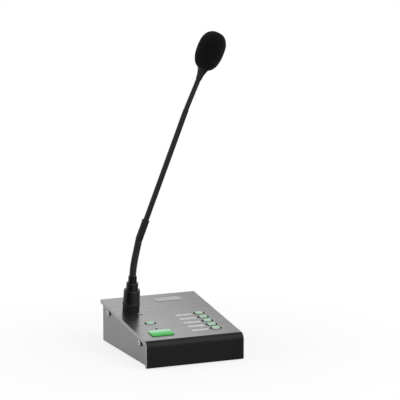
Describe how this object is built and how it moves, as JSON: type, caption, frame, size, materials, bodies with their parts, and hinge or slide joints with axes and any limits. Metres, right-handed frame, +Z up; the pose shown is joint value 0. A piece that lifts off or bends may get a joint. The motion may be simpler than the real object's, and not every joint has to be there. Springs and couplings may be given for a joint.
{
  "type": "paging microphone",
  "caption": "Desk paging microphone: sloping metal base with green buttons, a bendable gooseneck in its left rear corner and a foam windscreen.",
  "frame": {"origin": "centre of the base's footprint, on the desk", "axes": "+X to the right, -Y to the user, +Z up"},
  "size_m": [0.1244, 0.1488, 0.3794],
  "materials": {
    "brushed_cover": "brushed from left to right, apron lacquered black",
    "case_grey": "satin",
    "plain_steel": "satin",
    "screw_steel": "polished",
    "black_steel": "satin",
    "black_rubber": "matt",
    "pale_plate": "satin",
    "pale_label": "satin",
    "dark_lens": "gloss",
    "light_green": "satin",
    "bright_green": "gloss",
    "board_green": "satin",
    "black_plastic": "satin",
    "lamp_white": "gloss",
    "grey_lead": "satin",
    "contact_brass": "polished",
    "neck_black": "satin",
    "rod_black": "satin",
    "black_foam": "open-cell foam"
  },
  "bodies": {
    "base": {"board_chips": "black_plastic", "board_posts": "plain_steel", "board_screws": "screw_steel", "bracket_screws": "screw_steel", "cover_bracket_left": "plain_steel", "cover_bracket_right": "plain_steel", "foot_screws": "screw_steel", "key_lamps": "lamp_white", "key_switches": "black_plastic", "link_board": "board_green", "link_socket_1": "black_plastic", "link_socket_2": "black_plastic", "lower_case": "case_grey", "main_board": "board_green", "name_plate": "pale_plate", "plug_body": "neck_black", "plug_bush": "neck_black", "plug_gland": "neck_black", "plug_insert": "black_plastic", "plug_pins": "contact_brass", "plug_seal": "black_rubber", "power_lens": "dark_lens", "rear_panel": "case_grey", "rear_panel_screws": "screw_steel", "ribbon_lead": "grey_lead", "rubber_feet": "black_rubber", "side_screws": "screw_steel", "side_washers": "black_steel", "socket_collar": "black_plastic", "socket_contacts": "contact_brass", "socket_insert": "black_plastic", "socket_nut": "plain_steel", "talk_lens": "dark_lens", "top_cover": "brushed_cover", "weight_plate": "plain_steel", "zone_labels": "pale_label"},
    "talk_key": {"talk_button": "bright_green"},
    "call_key": {"call_button": "light_green"},
    "zone_key_1": {"zone_button_1": "light_green"},
    "zone_key_2": {"zone_button_2": "light_green"},
    "zone_key_3": {"zone_button_3": "light_green"},
    "zone_key_4": {"zone_button_4": "light_green"},
    "zone_key_5": {"zone_button_5": "light_green"},
    "lower_bead_1": {"lower_link_1": "rod_black"},
    "lower_bead_2": {"lower_link_2": "rod_black"},
    "lower_bead_3": {"lower_link_3": "rod_black"},
    "lower_bead_4": {"lower_link_4": "rod_black"},
    "lower_bead_5": {"lower_link_5": "rod_black"},
    "lower_bead_6": {"lower_link_6": "rod_black"},
    "lower_bead_7": {"lower_link_7": "rod_black"},
    "neck_rod": {"neck_ferrule": "rod_black", "neck_tube": "rod_black"},
    "upper_bead_1": {"upper_link_1": "rod_black"},
    "upper_bead_2": {"upper_link_2": "rod_black"},
    "upper_bead_3": {"upper_link_3": "rod_black"},
    "head": {"capsule_housing": "rod_black", "capsule": "plain_steel", "windscreen": "black_foam"}
  },
  "joints": [
    {"name": "talk_press", "type": "slide", "parent": "base", "child": "talk_key", "axis": [0, 0.1438, -0.9896], "range_m": [0, 0.001], "stiffness_N_per_m": 1200},
    {"name": "call_press", "type": "slide", "parent": "base", "child": "call_key", "axis": [0, 0.1438, -0.9896], "range_m": [0, 0.0008], "stiffness_N_per_m": 1200},
    {"name": "zone_press_1", "type": "slide", "parent": "base", "child": "zone_key_1", "axis": [0, 0.1438, -0.9896], "range_m": [0, 0.0008], "stiffness_N_per_m": 1200},
    {"name": "zone_press_2", "type": "slide", "parent": "base", "child": "zone_key_2", "axis": [0, 0.1438, -0.9896], "range_m": [0, 0.0008], "stiffness_N_per_m": 1200},
    {"name": "zone_press_3", "type": "slide", "parent": "base", "child": "zone_key_3", "axis": [0, 0.1438, -0.9896], "range_m": [0, 0.0008], "stiffness_N_per_m": 1200},
    {"name": "zone_press_4", "type": "slide", "parent": "base", "child": "zone_key_4", "axis": [0, 0.1438, -0.9896], "range_m": [0, 0.0008], "stiffness_N_per_m": 1200},
    {"name": "zone_press_5", "type": "slide", "parent": "base", "child": "zone_key_5", "axis": [0, 0.1438, -0.9896], "range_m": [0, 0.0008], "stiffness_N_per_m": 1200},
    {"name": "lower_side_1", "type": "hinge", "parent": "base", "child": "lower_bead_1", "pos_m": [-0.03997, 0.02063, 0.09277], "axis": [0, 0.9896, 0.1438], "range_deg": [-15, 15]},
    {"name": "lower_fore_1", "type": "hinge", "parent": "lower_bead_1", "child": "lower_bead_2", "pos_m": [-0.03971, 0.01975, 0.09877], "axis": [0.9963, 0.0123, -0.0849], "range_deg": [-15, 15]},
    {"name": "lower_side_2", "type": "hinge", "parent": "lower_bead_2", "child": "lower_bead_3", "pos_m": [-0.03919, 0.01888, 0.10475], "axis": [0, 0.9896, 0.1438], "range_deg": [-15, 15]},
    {"name": "lower_fore_2", "type": "hinge", "parent": "lower_bead_3", "child": "lower_bead_4", "pos_m": [-0.03841, 0.01802, 0.11071], "axis": [0.9867, 0.0234, -0.1607], "range_deg": [-15, 15]},
    {"name": "lower_side_3", "type": "hinge", "parent": "lower_bead_4", "child": "lower_bead_5", "pos_m": [-0.03742, 0.01716, 0.11664], "axis": [0, 0.9896, 0.1438], "range_deg": [-15, 15]},
    {"name": "lower_fore_3", "type": "hinge", "parent": "lower_bead_5", "child": "lower_bead_6", "pos_m": [-0.03642, 0.01629, 0.12256], "axis": [0.9863, 0.0237, -0.1633], "range_deg": [-15, 15]},
    {"name": "lower_side_4", "type": "hinge", "parent": "lower_bead_6", "child": "lower_bead_7", "pos_m": [-0.03542, 0.01543, 0.12849], "axis": [0, 0.9896, 0.1438], "range_deg": [-15, 15]},
    {"name": "lower_fore_4", "type": "hinge", "parent": "lower_bead_7", "child": "neck_rod", "pos_m": [-0.03442, 0.01457, 0.13442], "axis": [0.9502, 0.0448, -0.3083], "range_deg": [-15, 15]},
    {"name": "upper_side_1", "type": "hinge", "parent": "neck_rod", "child": "upper_bead_1", "pos_m": [0.01717, -0.00806, 0.29014], "axis": [0, 0.9896, 0.1438], "range_deg": [-24, 24]},
    {"name": "upper_fore_1", "type": "hinge", "parent": "upper_bead_1", "child": "upper_bead_2", "pos_m": [0.02134, -0.00964, 0.301], "axis": [0.9348, 0.0511, -0.3514], "range_deg": [-24, 24]},
    {"name": "upper_side_2", "type": "hinge", "parent": "upper_bead_2", "child": "upper_bead_3", "pos_m": [0.0255, -0.01122, 0.31185], "axis": [0, 0.9896, 0.1438], "range_deg": [-24, 24]},
    {"name": "upper_fore_2", "type": "hinge", "parent": "upper_bead_3", "child": "head", "pos_m": [0.02967, -0.0128, 0.32271], "axis": [0.9348, 0.0511, -0.3514], "range_deg": [-24, 24]}
  ],
  "couplings": [
    {"joint": "lower_side_2", "follows": "lower_side_1", "ratio": 1},
    {"joint": "lower_fore_2", "follows": "lower_fore_1", "ratio": 1},
    {"joint": "lower_side_3", "follows": "lower_side_1", "ratio": 1},
    {"joint": "lower_fore_3", "follows": "lower_fore_1", "ratio": 1},
    {"joint": "lower_side_4", "follows": "lower_side_1", "ratio": 1},
    {"joint": "lower_fore_4", "follows": "lower_fore_1", "ratio": 1},
    {"joint": "upper_side_2", "follows": "upper_side_1", "ratio": 1},
    {"joint": "upper_fore_2", "follows": "upper_fore_1", "ratio": 1}
  ]
}
